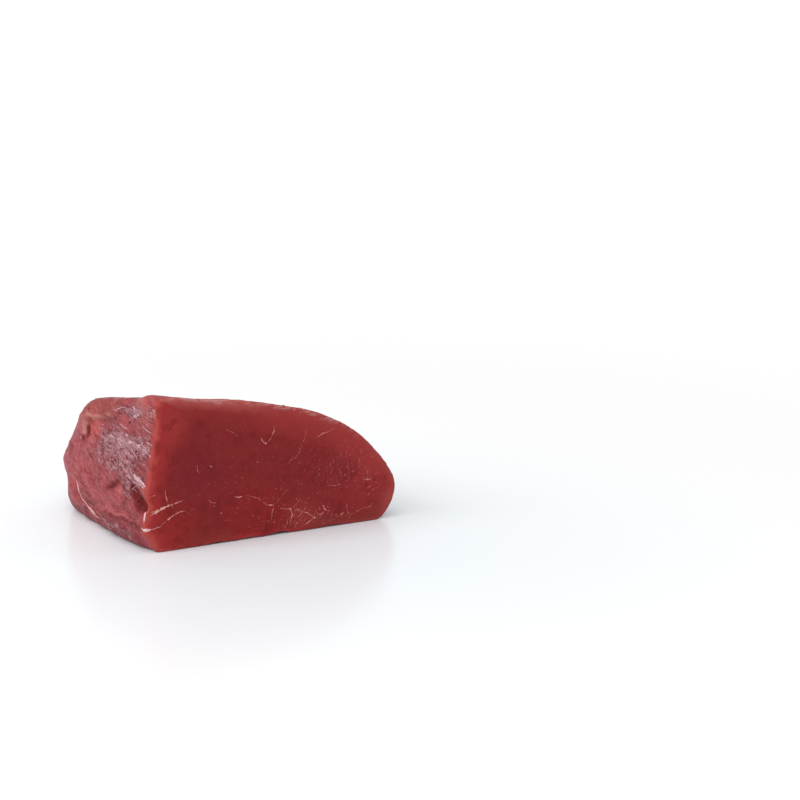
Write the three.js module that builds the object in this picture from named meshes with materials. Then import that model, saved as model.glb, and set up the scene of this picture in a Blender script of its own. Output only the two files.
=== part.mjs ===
import * as THREE from 'three';

// A block of salt-cured beef: one lean muscle, cut straight across its grain
// with a knife and resting on its flattest side. Sizes are in millimetres.
// While it is shaped, x runs along the cut, y goes from the cut into the meat
// and z is up. The cut is the plane y = 0 and the table is the plane z = 0,
// and the cut's lower left corner is near the origin.

// Driving sizes of the block, before its corners are rounded.
const WIDTH = 182;
const DEPTH = 155;
const HEIGHT = 100;

// The muscle is rounded out from its heart. Its sides are nearly flat, and
// they blend into each other with soft corners, while the table presses a
// crisper one. A larger number gives a crisper corner.
const HEART = new THREE.Vector3(0.46 * WIDTH, 0.44 * DEPTH, 0.42 * HEIGHT);
const MUSCLE_CRISPNESS = 16;
const TABLE_CRISPNESS = 34;

// How far the edge of the knife cut has rounded over.
const CUT_EDGE_ROUND = 1.8;

// Where each natural side faces, and a point that it passes through, given in
// shares of the width, the depth and the height.
const MUSCLE_SIDES = {
  left: { faces: [-0.984, -0.056, 0.177], through: [-0.056, 0.387, 0.38] },
  leftFoot: { faces: [-0.78, -0.07, -0.62], through: [-0.069, 0.387, 0.050] },
  leftBack: { faces: [-0.80, 0.60, 0.14], through: [-0.075, 0.928, 0.28] },
  leftBackFoot: { faces: [-0.68, 0.54, -0.50], through: [-0.080, 0.955, 0.14] },
  top: { faces: [0.175, 0.185, 0.97], through: [0.308, 0.039, 0.935] },
  topRight: { faces: [0.42, 0.10, 0.90], through: [0.692, 0, 0.776] },
  rightSlope: { faces: [0.73, 0.12, 0.67], through: [0.890, 0, 0.514] },
  rightTip: { faces: [0.98, 0.20, 0], through: [0.992, 0, 0.20] },
  rightFoot: { faces: [0.66, 0.10, -0.74], through: [0.932, 0, 0.022] },
  backTop: { faces: [0.04, 0.48, 0.87], through: [0.055, 0.671, 0.84] },
  backUpper: { faces: [0.05, 0.86, 0.50], through: [0.055, 0.880, 0.60] },
  back: { faces: [0.12, 0.99, 0], through: [0.055, 1.015, 0.26] },
  backFoot: { faces: [0.05, 0.84, -0.54], through: [0.11, 0.970, 0.05] },
  backRight: { faces: [0.70, 0.71, 0.10], through: [0.879, 0.723, 0.25] },
  cutAway: { faces: [0, -1, 0], through: [0, -0.45, 0] },
};

// The table presses the underside this much flatter than the plane z = 0.
const TABLE_PRESS = 0.6;

// The skin of the block is a box-shaped net of quads, sent out to the muscle.
// These are the net's half sizes, and its quads along width, depth and height.
const HALF_NET = [95, 76, 52];
const QUADS = [30, 37, 29];
const FINER_TO_THE_LEFT = 0.3;

// Paths of the relief on the left side, as points of (y, z) from back to front.
const FLAP_LIP = [
  [141, 44], [122, 50], [113, 57], [111, 66], [102, 71], [88, 74], [70, 77], [55, 82], [42, 91],
];
const MEMBRANE_EDGE = [[84, 70], [62, 71], [48, 66], [30, 69], [14, 67], [-6, 64]];
const LOWER_FOLD = [[84, 13], [63, 16.5], [43, 18], [26, 20], [8, 20], [-6, 18]];
const FOLD_CREASE = [[84, 15.5], [63, 19], [43, 20.5], [26, 22.5], [8, 22.5], [-6, 20.5]];
const CREVICE = [[24, 40], [14, 37], [5, 33], [-2, 29], [-5, 22]];
const GASH = [[62, 30], [54, 34], [46, 37], [36, 41]];
const FAT_STRIP = [[126, 26], [118, 20], [108, 13], [92, 10], [72, 8]];
const STRIP_CREASE = [[124, 30.5], [116, 24.5], [106, 17.5], [90, 14.5], [70, 12.5]];
const LUMP_GROOVE = [[20, 99], [22, 91], [20, 83]];

// Paths on the top, as points of (x, y), on the back, as points of (x, z), and
// on the right, as points of (y, z).
const TOP_SEAM = [[70, -8], [64, 14], [72, 48], [66, 84], [74, 118]];
const TOP_NICK = [[58, -6], [57, 5], [53, 16]];
const TOP_FOLD = [[150, -4], [128, 24], [118, 62], [96, 96]];
const BACK_SEAM = [[-8, 66], [26, 58], [62, 46], [98, 44], [132, 30], [160, 22]];
const BACK_FOLD = [[20, 92], [52, 78], [90, 74], [128, 56]];
const BACK_FAT = [[34, 20], [60, 14], [92, 12], [118, 7]];
const RIGHT_SEAM = [[-6, 36], [18, 30], [48, 33], [84, 24], [112, 26]];

// The relief on each natural side. A step lifts the surface, or drops it, to
// the right (1) or to the left (-1) of the way that its path runs, and fades
// out over its reach. A ridge follows its path, and one that rises by less than
// nothing is a channel. A hump has a place, two reaches and a height.
const RELIEF = {
  left: {
    steps: [
      { path: FLAP_LIP, side: -1, rises: -4, reach: 15 },
      { path: MEMBRANE_EDGE, side: 1, rises: -0.9, reach: 9 },
      { path: LOWER_FOLD, side: -1, rises: 1.3, reach: 8 },
    ],
    ridges: [
      { path: FOLD_CREASE, rises: -0.8, width: 2.4 },
      { path: CREVICE, rises: -3.4, width: 4 },
      { path: GASH, rises: -1.4, width: 3 },
      { path: FAT_STRIP, rises: 0.9, width: 2.2 },
      { path: STRIP_CREASE, rises: -0.7, width: 3 },
      { path: LUMP_GROOVE, rises: -1.3, width: 2.5 },
    ],
    humps: [
      [97, 4, 6, 4.6, 1.5],
      [74, 7, 6, 4.6, 1.5],
      [53, 8, 6, 4.6, 1.5],
      [33, 10, 6, 4.6, 1.5],
      [17, 8, 6, 4.6, 1.5],
    ],
  },
  top: {
    steps: [{ path: TOP_FOLD, side: 1, rises: -1.3, reach: 16 }],
    ridges: [
      { path: TOP_SEAM, rises: -1.4, width: 7 },
      { path: TOP_NICK, rises: -1.6, width: 2.6 },
    ],
    humps: [
      [60, 4, 21, 30, 3.8],
      [112, 3, 13, 13, 1.2],
    ],
  },
  back: {
    steps: [{ path: BACK_SEAM, side: 1, rises: -2.2, reach: 17 }],
    ridges: [
      { path: BACK_FOLD, rises: -1.5, width: 5 },
      { path: BACK_FAT, rises: 0.9, width: 2.4 },
    ],
    humps: [[44, 34, 17, 17, -1.6]],
  },
  right: {
    steps: [{ path: RIGHT_SEAM, side: -1, rises: -1.6, reach: 15 }],
    ridges: [{ path: RIGHT_SEAM, rises: -0.7, width: 3 }],
    humps: [],
  },
};

// Half the width of the slope of a step.
const STEP_SLOPE = 2.2;

// Bulges and dents of the whole muscle: x, y, z, the reach along each of them
// and the height. First the lump on the upper left front corner, the shoulder
// far behind it and the notch between them, then the left side where it turns
// to the back, and its foot.
const BULGES = [
  [4, 16, 99, 12.5, 12.5, 12.5, 6.4],
  [2, 100, 90, 20, 20, 20, 2],
  [1, 45, 94, 12, 5.5, 15, -2.6],
  [-7, 139, 37, 9, 15, 9, 1.4],
  [-9.6, 135, 21, 8, 13.3, 8, -2.6],
  [-5, 127, 60, 12, 20, 12, -2.4],
  [-9, 110, 3, 12, 20, 12, -1.6],
  [-9, 44, 4, 15, 25, 15, 2.2],
  [-6, 1, 2, 8, 12, 8, -3.2],
];

// Heights of the low swells that run over the whole muscle.
const WIDE_SWELL = 0.8;
const NARROW_SWELL = 0.3;

// Short places where the cut's lower edge is off the table: x, reach, height.
const EDGE_GAPS = [[44, 7, 0.9], [66, 6, 0.9], [89, 7, 1.8], [131, 9, 0.7]];
const EDGE_GAP_DEPTH = 9;

const MEAT = new THREE.MeshStandardMaterial({ color: 0x862c2e, roughness: 0.5, metalness: 0 });

for (const side of Object.values(MUSCLE_SIDES)) {
  side.normal = new THREE.Vector3(...side.faces).normalize();
  const [x, y, z] = side.through;
  const point = new THREE.Vector3(x * WIDTH, y * DEPTH, z * HEIGHT);
  side.distance = point.sub(HEART).dot(side.normal);
}

// How far the smooth muscle reaches from its heart in a direction, and where
// its surface faces there.
function smoothMuscle(direction) {
  const facing = new THREE.Vector3();
  let total = 0;
  for (const side of Object.values(MUSCLE_SIDES)) {
    const closeness = Math.max(0, direction.dot(side.normal) / side.distance);
    const share = closeness ** (MUSCLE_CRISPNESS - 1);
    total += share * closeness;
    facing.addScaledVector(side.normal, share / side.distance);
  }
  return { reach: total ** (-1 / MUSCLE_CRISPNESS), facing: facing.normalize() };
}

// 0 below `from`, 1 above `to`, and a smooth rise in between.
function rise(value, from, to) {
  return THREE.MathUtils.smoothstep(value, from, to);
}

// 1 at the middle and almost nothing at twice the reach from it.
function hill(distance, reach) {
  return Math.exp(-((distance / reach) ** 2));
}

// The place on a path that is nearest to the point (a, b): how far off it is,
// on which side (positive to the right of the path), and a fade that is 1
// along the path and falls to 0 at both ends.
function besidePath(path, a, b) {
  let best = { distance: Infinity };
  for (let i = 0; i + 1 < path.length; i += 1) {
    const [startA, startB] = path[i];
    const [alongA, alongB] = [path[i + 1][0] - startA, path[i + 1][1] - startB];
    const length = Math.hypot(alongA, alongB);
    const reached = ((a - startA) * alongA + (b - startB) * alongB) / length ** 2;
    const share = THREE.MathUtils.clamp(reached, 0, 1);
    const [offA, offB] = [a - startA - share * alongA, b - startB - share * alongB];
    const distance = Math.hypot(offA, offB);
    if (distance < best.distance) {
      const side = Math.sign(alongB * offA - alongA * offB);
      best = { distance, side, place: (i + share) / (path.length - 1) };
    }
  }
  const fade = Math.sin(Math.PI * best.place) ** 0.6;
  return { off: best.distance * best.side, fade };
}

// The relief of one side at a point (a, b) of it.
function sideRelief({ steps, ridges, humps }, a, b) {
  let height = 0;
  for (const { path, side, rises, reach } of steps) {
    const { off, fade } = besidePath(path, a, b);
    const beyond = off * side;
    const edge = rise(beyond, -STEP_SLOPE, STEP_SLOPE);
    height += rises * fade * edge * hill(Math.max(0, beyond), reach);
  }
  for (const { path, rises, width } of ridges) {
    const { off, fade } = besidePath(path, a, b);
    height += rises * fade * hill(off, width);
  }
  for (const [humpA, humpB, reachA, reachB, rises] of humps) {
    height += rises * hill(Math.hypot((a - humpA) / reachA, (b - humpB) / reachB), 1);
  }
  return height;
}

// The low swells and the bulges of the whole muscle.
function swells({ x, y, z }) {
  const wide = Math.sin(x / 19 + y / 41 + 0.6) * Math.sin(y / 23 - z / 31 + 1.9);
  const narrow = Math.sin(x / 8.5 - z / 12 + 2.2) * Math.sin(y / 11 + z / 7.5 + 0.4);
  let height = WIDE_SWELL * wide + NARROW_SWELL * narrow;
  for (const [bulgeX, bulgeY, bulgeZ, reachX, reachY, reachZ, rises] of BULGES) {
    const [offX, offY, offZ] = [x - bulgeX, y - bulgeY, z - bulgeZ];
    height += rises * hill(Math.hypot(offX / reachX, offY / reachY, offZ / reachZ), 1);
  }
  return height;
}

// Height of the relief over the smooth muscle, blended by where it faces.
function relief(point, facing) {
  const { x, y, z } = point;
  let height = swells(point);
  height += rise(-facing.x, 0.35, 0.8) * sideRelief(RELIEF.left, y, z);
  height += rise(facing.z, 0.5, 0.85) * sideRelief(RELIEF.top, x, y);
  height += rise(facing.y, 0.45, 0.8) * sideRelief(RELIEF.back, x, z);
  height += rise(facing.x, 0.45, 0.8) * sideRelief(RELIEF.right, y, z);
  return height;
}

// Where the skin of the resting muscle lies in a direction from the heart.
function skin(direction) {
  const { reach, facing } = smoothMuscle(direction);
  const onMuscle = HEART.clone().addScaledVector(direction, reach);
  const muscleReach = reach + relief(onMuscle, facing);
  const toTable = Math.max(0, -direction.z) / (HEART.z + TABLE_PRESS);
  const pressed = muscleReach ** -TABLE_CRISPNESS + toTable ** TABLE_CRISPNESS;
  const point = HEART.clone().addScaledVector(direction, pressed ** (-1 / TABLE_CRISPNESS));
  point.z = Math.max(0, point.z);
  for (const [gapX, reachX, gapHeight] of EDGE_GAPS) {
    const lift = hill(point.x - gapX, reachX) * hill(point.y, EDGE_GAP_DEPTH);
    point.z += gapHeight * lift * hill(point.z, 6);
  }
  return point;
}

// The point of the skin behind a point (x, y, z) of the box-shaped net.
function sentOut(x, y, z) {
  return skin(new THREE.Vector3(x, y, z).normalize());
}

// How far forward the net has to go, at the same x and z, for its point on the
// skin to lie just behind the cut, where the rounded edge begins.
function netAtCut(x, z) {
  let [inFront, behind] = [-4 * HALF_NET[1], HALF_NET[1]];
  for (let i = 0; i < 40; i += 1) {
    const middle = (inFront + behind) / 2;
    if (sentOut(x, middle, z).y < CUT_EDGE_ROUND) {
      inFront = middle;
    } else {
      behind = middle;
    }
  }
  return behind;
}

// The edge of the flat cut, which is drawn in from the skin behind it.
function cutEdge(x, z) {
  const point = sentOut(x, netAtCut(x, z), z);
  const inwards = new THREE.Vector3(HEART.x - point.x, 0, HEART.z - point.z);
  point.addScaledVector(inwards.normalize(), CUT_EDGE_ROUND);
  point.y = 0;
  return point;
}

// A closed skin: the four sides and the back of the net, one row of quads for
// the rounded edge, and a fan of triangles for the flat cut.
function blockGeometry() {
  const places = [];
  const numbers = new Map();
  const faces = [];

  function place([i, j, k]) {
    const across = (2 * i) / QUADS[0] - 1;
    const x = HALF_NET[0] * (across - (FINER_TO_THE_LEFT * (1 - across ** 2)) / 2);
    const z = HALF_NET[2] * ((2 * k) / QUADS[2] - 1);
    if (j === 0) {
      return cutEdge(x, z);
    }
    if (j === QUADS[1]) {
      return sentOut(x, HALF_NET[1], z);
    }
    const share = (j - 1) / (QUADS[1] - 1);
    return sentOut(x, THREE.MathUtils.lerp(netAtCut(x, z), HALF_NET[1], share), z);
  }

  function numberOf(step) {
    const key = step.join(' ');
    if (!numbers.has(key)) {
      numbers.set(key, places.length);
      places.push(place(step));
    }
    return numbers.get(key);
  }

  function addQuad(a, b, c, d) {
    if (places[a].distanceTo(places[c]) <= places[b].distanceTo(places[d])) {
      faces.push(a, b, c, a, c, d);
    } else {
      faces.push(a, b, d, b, c, d);
    }
  }

  // One face of the net: the steps along `axis` are all `end`.
  function addNetFace(axis, end) {
    const [second, third] = [(axis + 1) % 3, (axis + 2) % 3];
    for (let i = 0; i < QUADS[second]; i += 1) {
      for (let j = 0; j < QUADS[third]; j += 1) {
        const corners = [[0, 0], [1, 0], [1, 1], [0, 1]].map(([di, dj]) => {
          const step = [];
          step[axis] = end;
          step[second] = i + di;
          step[third] = j + dj;
          return numberOf(step);
        });
        addQuad(...(end > 0 ? corners : corners.reverse()));
      }
    }
  }

  for (const axis of [0, 2]) {
    addNetFace(axis, 0);
    addNetFace(axis, QUADS[axis]);
  }
  addNetFace(1, QUADS[1]);

  // The steps once round the edge of the cut, seen from the front.
  const [last, , high] = QUADS;
  const round = [];
  for (let i = 0; i < last; i += 1) {
    round.push([i, 0, 0]);
  }
  for (let k = 0; k < high; k += 1) {
    round.push([last, 0, k]);
  }
  for (let i = last; i > 0; i -= 1) {
    round.push([i, 0, high]);
  }
  for (let k = high; k > 0; k -= 1) {
    round.push([0, 0, k]);
  }
  const middle = places.length;
  places.push(new THREE.Vector3(HEART.x, 0, HEART.z));
  round.forEach((step, i) => {
    const next = round[(i + 1) % round.length];
    faces.push(middle, numberOf(step), numberOf(next));
  });

  const geometry = new THREE.BufferGeometry();
  geometry.setFromPoints(places);
  geometry.setIndex(faces);
  return geometry;
}

// The finished block stands with the middle of its box's underside at the
// origin, the cut facing -y.
function meatBlock() {
  const geometry = blockGeometry();
  geometry.computeBoundingBox();
  const middle = geometry.boundingBox.getCenter(new THREE.Vector3());
  geometry.translate(-middle.x, -middle.y, -geometry.boundingBox.min.z);
  geometry.computeVertexNormals();
  const mesh = new THREE.Mesh(geometry, MEAT);
  mesh.name = 'meat_block';
  return mesh;
}

const carneSalada = new THREE.Group();
carneSalada.add(meatBlock());

export default carneSalada;
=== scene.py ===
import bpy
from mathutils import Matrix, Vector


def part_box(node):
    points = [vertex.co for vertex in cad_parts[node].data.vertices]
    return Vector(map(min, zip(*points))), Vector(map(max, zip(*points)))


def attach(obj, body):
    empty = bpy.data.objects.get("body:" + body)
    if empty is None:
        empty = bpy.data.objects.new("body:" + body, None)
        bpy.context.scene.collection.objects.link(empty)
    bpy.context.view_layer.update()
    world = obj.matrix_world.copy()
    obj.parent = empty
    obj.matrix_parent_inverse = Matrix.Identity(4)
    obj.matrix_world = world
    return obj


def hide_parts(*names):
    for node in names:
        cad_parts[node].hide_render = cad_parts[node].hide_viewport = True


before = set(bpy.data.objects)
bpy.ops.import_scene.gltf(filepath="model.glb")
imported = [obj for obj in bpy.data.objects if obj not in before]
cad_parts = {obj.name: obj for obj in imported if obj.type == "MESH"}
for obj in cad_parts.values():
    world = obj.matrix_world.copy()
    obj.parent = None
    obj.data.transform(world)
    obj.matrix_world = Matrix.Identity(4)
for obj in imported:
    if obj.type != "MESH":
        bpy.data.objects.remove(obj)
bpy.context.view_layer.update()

from math import pi, radians, sin, cos

import bmesh
import bpy
import numpy as np
from mathutils import Vector


# The block of meat: one lean beef muscle, dry cured with salt and spices and cut across its grain
# with one knife stroke. It is rounded out from its heart, relief is added to its natural sides,
# and the flat cut is closed over a softly rounded edge.
MM = 0.001

# It is shaped in millimetres: x along the cut, y into the meat and z up, with the cut at y = 0
# and the table at z = 0.
WIDTH, DEPTH, HEIGHT = 182, 155, 100
HEART = np.array([0.46 * WIDTH, 0.44 * DEPTH, 0.42 * HEIGHT])
MUSCLE_CRISPNESS = 16
TABLE_CRISPNESS = 34
TABLE_PRESS = 0.6
CUT_EDGE_ROUND = 1.8
TINY = 0.001
ROOM_FOR_TRIM = 0.3 * MM
RIM_LEFT, RIM_TOP, RIM_RIGHT, RIM_LOW = 12, 7, 8.5, 3

# The box-shaped net of quads that is sent out from the heart, and the rings that close the cut,
# by how far in from its edge they lie.
HALF_NET = np.array([95.0, 76, 52])
QUADS = np.array([136, 168, 124])
FINER_TO_THE_LEFT = 0.3
FAR_IN_FRONT = 4
HALVINGS = 36
EDGE_ROWS = 5
CUT_RINGS = (0.8, 1.8, 3, 4.5, 6.5, 9, 12, 16, 21, 28, 36)
LAST_RING = 0.9

# Where each natural side faces, and a point on it as shares of width, depth and height.
MUSCLE_SIDES = {
    "left": ((-0.984, -0.056, 0.177), (-0.056, 0.387, 0.38)),
    "left foot": ((-0.78, -0.07, -0.62), (-0.069, 0.387, 0.05)),
    "left back": ((-0.8, 0.6, 0.14), (-0.075, 0.928, 0.28)),
    "left back foot": ((-0.68, 0.54, -0.5), (-0.08, 0.955, 0.14)),
    "top": ((0.175, 0.185, 0.97), (0.308, 0.039, 0.935)),
    "top right": ((0.42, 0.1, 0.9), (0.692, 0, 0.776)),
    "right slope": ((0.73, 0.12, 0.67), (0.89, 0, 0.514)),
    "right tip": ((0.98, 0.2, 0), (0.992, 0, 0.2)),
    "right foot": ((0.66, 0.1, -0.74), (0.932, 0, 0.022)),
    "back top": ((0.04, 0.48, 0.87), (0.055, 0.671, 0.84)),
    "back upper": ((0.05, 0.86, 0.5), (0.055, 0.88, 0.6)),
    "back": ((0.12, 0.99, 0), (0.055, 1.015, 0.26)),
    "back foot": ((0.05, 0.84, -0.54), (0.11, 0.97, 0.05)),
    "back right": ((0.7, 0.71, 0.1), (0.879, 0.723, 0.25)),
    "cut away": ((0, -1, 0), (0, -0.45, 0)),
}

# Paths of the relief: on the left side as points of (y, z), from back to front, on the top as
# points of (x, y), on the back as points of (x, z) and on the right as points of (y, z).
FLAP_LIP = (
    (141, 44), (122, 50), (113, 57), (111, 66), (102, 71), (88, 74), (70, 77), (55, 82), (42, 91))
MEMBRANE_EDGE = ((84, 70), (62, 71), (48, 66), (30, 69), (14, 67), (-6, 64))
LOWER_FOLD = ((84, 13), (63, 16.5), (43, 18), (26, 20), (8, 20), (-6, 18))
FOLD_CREASE = [(y, z + 2.5) for y, z in LOWER_FOLD]
CREVICE = ((24, 40), (14, 37), (5, 33), (-2, 29), (-5, 22))
GASH = ((62, 30), (54, 34), (46, 37), (36, 41))
FAT_STRIP = ((126, 26), (118, 20), (108, 13), (92, 10), (72, 8))
STRIP_CREASE = [(y - 2, z + 4.5) for y, z in FAT_STRIP]
LUMP_GROOVE = ((20, 99), (22, 91), (20, 83))
TOP_SEAM = ((70, -8), (64, 14), (72, 48), (66, 84), (74, 118))
TOP_NICK = ((58, -6), (57, 5), (53, 16))
TOP_FOLD = ((150, -4), (128, 24), (118, 62), (96, 96))
BACK_SEAM = ((-8, 66), (26, 58), (62, 46), (98, 44), (132, 30), (160, 22))
BACK_FOLD = ((20, 92), (52, 78), (90, 74), (128, 56))
BACK_FAT = ((34, 20), (60, 14), (92, 12), (118, 7))
RIGHT_SEAM = ((-6, 36), (18, 30), (48, 33), (84, 24), (112, 26))

# The relief of each side. A step is a path, 1 for the right or -1 for the left of the way that it
# runs, how far the surface rises there, and the reach over which that fades out. A ridge is a
# path, a height and a width, and a hump is a place, two reaches and a height.
RELIEF = {
    "left": {
        "steps": (
            (FLAP_LIP, -1, -4, 15), (MEMBRANE_EDGE, 1, -0.9, 9), (LOWER_FOLD, -1, 1.3, 8)),
        "ridges": (
            (FOLD_CREASE, -0.8, 2.4), (CREVICE, -3.4, 4), (GASH, -1.4, 3), (FAT_STRIP, 0.9, 2.2),
            (STRIP_CREASE, -0.7, 3), (LUMP_GROOVE, -1.3, 2.5)),
        "humps": (
            (97, 4, 6, 4.6, 1.5), (74, 7, 6, 4.6, 1.5), (53, 8, 6, 4.6, 1.5), (33, 10, 6, 4.6, 1.5),
            (17, 8, 6, 4.6, 1.5))},
    "top": {
        "steps": ((TOP_FOLD, 1, -1.3, 16),),
        "ridges": ((TOP_SEAM, -1.4, 7), (TOP_NICK, -1.6, 2.6)),
        "humps": ((60, 4, 21, 30, 3.8), (112, 3, 13, 13, 1.2))},
    "back": {
        "steps": ((BACK_SEAM, 1, -2.2, 17),),
        "ridges": ((BACK_FOLD, -1.5, 5), (BACK_FAT, 0.9, 2.4)),
        "humps": ((44, 34, 17, 17, -1.6),)},
    "right": {
        "steps": ((RIGHT_SEAM, -1, -1.6, 15),), "ridges": ((RIGHT_SEAM, -0.7, 3),), "humps": ()},
}
STEP_SLOPE = 1.9

# Bulges and dents of the whole muscle: x, y, z, the reach along each of them and the height.
BULGES = (
    (4, 16, 99, 12.5, 12.5, 12.5, 6.4), (2, 100, 90, 20, 20, 20, 2), (1, 45, 94, 12, 5.5, 15, -2.6),
    (-7, 139, 37, 9, 15, 9, 1.4), (-9.6, 135, 21, 8, 13.3, 8, -2.6),
    (-5, 127, 60, 12, 20, 12, -2.4), (-9, 110, 3, 12, 20, 12, -1.6), (-9, 44, 4, 15, 25, 15, 2.2),
    (-6, 1, 2, 8, 12, 8, -3.2))
WIDE_SWELL, NARROW_SWELL = 0.8, 0.3

# Short places where the cut's lower edge is off the table: x, reach and height.
EDGE_GAPS = ((44, 7, 0.9), (66, 6, 0.9), (89, 7, 1.8), (131, 9, 0.7))
EDGE_GAP_DEPTH, EDGE_GAP_HEIGHT = 9, 6


def unit(vectors):
    return vectors / np.linalg.norm(vectors, axis=-1, keepdims=True)


def rise(value, low, high):
    """0 at `low`, 1 at `high`, level beyond them, and a smooth rise in between."""
    share = np.clip((value - low) / (high - low), 0, 1)
    return share * share * (3 - 2 * share)


def hill(distance, reach):
    """1 at the middle and almost nothing at twice the reach from it."""
    return np.exp(-((distance / reach) ** 2))


def mottle(points, size, seed):
    """Smooth random swells between -1 and 1, each about `size` millimetres wide."""
    corners = np.random.default_rng(seed).uniform(-1, 1, (32, 32, 32))
    place = points / np.array(size, float)
    cell = np.floor(place).astype(int)
    share = rise(place - cell, 0, 1)
    value = np.zeros(len(points))
    for corner in np.ndindex(2, 2, 2):
        weight = np.prod(np.where(corner, share, 1 - share), axis=1)
        value += weight * corners[tuple(((cell + corner) % 32).T)]
    return value


def raggedness(points):
    """How far the edges of the relief and of the colours stray from their paths."""
    return 1.5 * mottle(points, 6, 21) + 0.7 * mottle(points, 2.4, 22)


def smooth_muscle(direction):
    """How far the bare muscle reaches in each direction, and where its surface faces."""
    total = np.zeros(len(direction))
    facing = np.zeros_like(direction)
    for normal, share in MUSCLE_SIDES.values():
        normal = unit(np.array(normal, float))
        distance = (np.array(share) * (WIDTH, DEPTH, HEIGHT) - HEART) @ normal
        closeness = np.maximum(0, direction @ normal) / distance
        strength = closeness ** (MUSCLE_CRISPNESS - 1)
        total += strength * closeness
        facing += (strength / distance)[:, None] * normal
    return total ** (-1 / MUSCLE_CRISPNESS), unit(facing)


def beside_path(path, a, b):
    """How far each point (a, b) is beside a path, positive to its right, and a fade that falls
    to 0 at both ends of the path."""
    path = np.array(path, float)
    run = path[1:] - path[:-1]
    off = np.stack([a, b], 1)[:, None] - path[:-1]
    share = np.clip((off * run).sum(2) / (run**2).sum(1), 0, 1)
    off -= share[..., None] * run
    distance = np.linalg.norm(off, axis=2)
    side = np.sign(run[:, 1] * off[..., 0] - run[:, 0] * off[..., 1])
    nearest = distance.argmin(1)
    each = np.arange(len(a))
    place = (nearest + share[each, nearest]) / len(run)
    return (distance * side)[each, nearest], np.maximum(0, np.sin(pi * place)) ** 0.6


def side_relief(side, a, b):
    height = np.zeros(len(a))
    for path, hand, rises, reach in RELIEF[side]["steps"]:
        off, fade = beside_path(path, a, b)
        edge = rise(off * hand, -STEP_SLOPE, STEP_SLOPE)
        height += rises * fade * edge * hill(np.maximum(0, off * hand), reach)
    for path, rises, width in RELIEF[side]["ridges"]:
        off, fade = beside_path(path, a, b)
        height += rises * fade * hill(off, width)
    for hump_a, hump_b, reach_a, reach_b, rises in RELIEF[side]["humps"]:
        height += rises * hill(np.hypot((a - hump_a) / reach_a, (b - hump_b) / reach_b), 1)
    return height


def swells(points):
    x, y, z = points.T
    wide = np.sin(x / 19 + y / 41 + 0.6) * np.sin(y / 23 - z / 31 + 1.9)
    narrow = np.sin(x / 8.5 - z / 12 + 2.2) * np.sin(y / 11 + z / 7.5 + 0.4)
    height = WIDE_SWELL * wide + NARROW_SWELL * narrow
    for *middle, reach_x, reach_y, reach_z, rises in BULGES:
        off = np.linalg.norm((points - middle) / (reach_x, reach_y, reach_z), axis=1)
        height += rises * hill(off, 1)
    return height


def grain(points):
    """Fine relief: bundles of fibres along y, torn skin, and small pits."""
    bundles = mottle(points, (3.2, 26, 3.2), 11) + 0.6 * mottle(points, (1.5, 11, 1.5), 12)
    pebbles = mottle(points, 2.6, 13) + 0.6 * mottle(points, 1.4, 14)
    patches = mottle(points, (7, 15, 7), 15) + 0.5 * mottle(points, (2.5, 5, 2.5), 16)
    return 0.24 * bundles + 0.13 * pebbles + 0.28 * rise(patches, 0.1, 0.35)


def relief(points, facing):
    x, y, z = points.T
    ragged = raggedness(points)
    height = swells(points) + grain(points)
    height += rise(-facing[:, 0], 0.35, 0.8) * side_relief("left", y + ragged, z + 0.7 * ragged)
    height += rise(facing[:, 2], 0.5, 0.85) * side_relief("top", x + ragged, y)
    height += rise(facing[:, 1], 0.45, 0.8) * side_relief("back", x, z + ragged)
    return height + rise(facing[:, 0], 0.45, 0.8) * side_relief("right", y, z + ragged)


def sent_out(net):
    """The points of the block's skin behind the points of the box-shaped net."""
    direction = unit(net)
    reach, facing = smooth_muscle(direction)
    reach = reach + relief(HEART + direction * reach[:, None], facing)
    to_table = np.maximum(0, -direction[:, 2]) / (HEART[2] + TABLE_PRESS)
    pressed = reach**-TABLE_CRISPNESS + to_table**TABLE_CRISPNESS
    points = HEART + direction * pressed[:, None] ** (-1 / TABLE_CRISPNESS)
    points[:, 2] = np.maximum(0, points[:, 2])
    for gap_x, reach_x, gap_height in EDGE_GAPS:
        lift = hill(points[:, 0] - gap_x, reach_x) * hill(points[:, 1], EDGE_GAP_DEPTH)
        points[:, 2] += gap_height * lift * hill(points[:, 2], EDGE_GAP_HEIGHT)
    return points


def net_at_cut(x, z):
    """How far forward the net goes at (x, z) to reach the skin just behind the cut."""
    in_front = np.full(len(x), -FAR_IN_FRONT * HALF_NET[1])
    behind = np.full(len(x), HALF_NET[1])
    for _ in range(HALVINGS):
        middle = (in_front + behind) / 2
        reaches = sent_out(np.stack([x, middle, z], 1))[:, 1] < CUT_EDGE_ROUND
        in_front = np.where(reaches, middle, in_front)
        behind = np.where(reaches, behind, middle)
    return behind


def skin_quads():
    """The four sides and the back of the net, as quads of steps (i, j, k)."""
    quads = []
    for axis, ends in ((0, (0, QUADS[0])), (2, (0, QUADS[2])), (1, (QUADS[1],))):
        second, third = (axis + 1) % 3, (axis + 2) % 3
        for end in ends:
            i, j = np.indices((QUADS[second], QUADS[third])).reshape(2, -1, 1)
            corners = np.full((len(i), 4, 3), end)
            corners[:, :, second] = i + (0, 1, 1, 0)
            corners[:, :, third] = j + (0, 0, 1, 1)
            quads.append(corners if end > 0 else corners[:, ::-1])
    return np.concatenate(quads)


def net_x(i):
    across = 2 * i / QUADS[0] - 1
    return HALF_NET[0] * (across - FINER_TO_THE_LEFT * (1 - across**2) / 2)


def net_z(k):
    return HALF_NET[2] * (2 * k / QUADS[2] - 1)


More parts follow.
